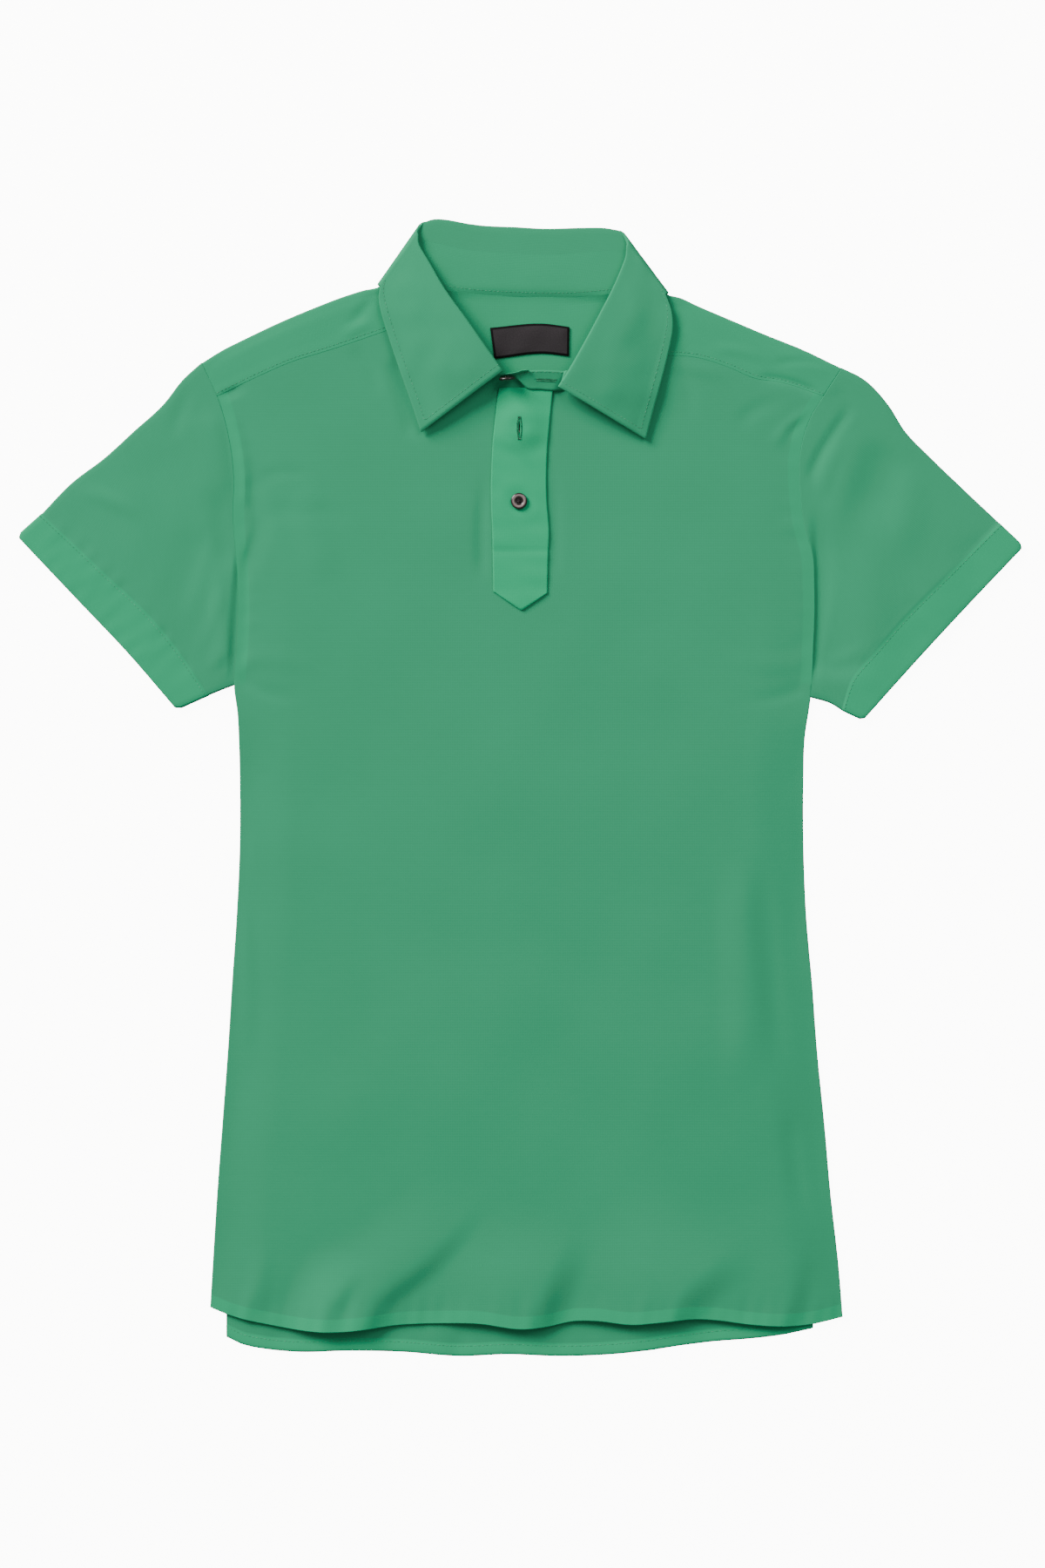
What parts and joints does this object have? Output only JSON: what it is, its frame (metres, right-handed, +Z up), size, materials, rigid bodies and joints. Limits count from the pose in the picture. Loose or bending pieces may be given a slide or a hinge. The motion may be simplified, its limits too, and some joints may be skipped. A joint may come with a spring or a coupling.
{
  "type": "polo_shirt",
  "caption": "Men's short-sleeved jersey polo shirt with a shirt collar, a pointed button placket and a shoulder yoke, laid flat on its back",
  "frame": {"origin": "middle of the base of the whole shirt as it lies, on the surface", "axes": "+X to the shirt's own left sleeve, +Y from the hem to the collar, +Z up, from the back panel to the front panel"},
  "size_m": [0.7514, 0.8476, 0.0152],
  "materials": {
    "jersey": "matte fine cotton jersey, green",
    "label_weave": "woven label, black, no text",
    "button_resin": "polished dark brown polyester resin, horn-like"
  },
  "bodies": {
    "root": {"back": "jersey", "front": "jersey", "yoke": "jersey", "sleeve_right": "jersey", "sleeve_left": "jersey", "collar_stand": "jersey", "collar_leaf": "jersey", "placket_upper": "jersey", "placket_under": "jersey", "button_collar": "button_resin", "button_first": "button_resin", "button_second": "button_resin", "label": "label_weave"}
  },
  "joints": []
}
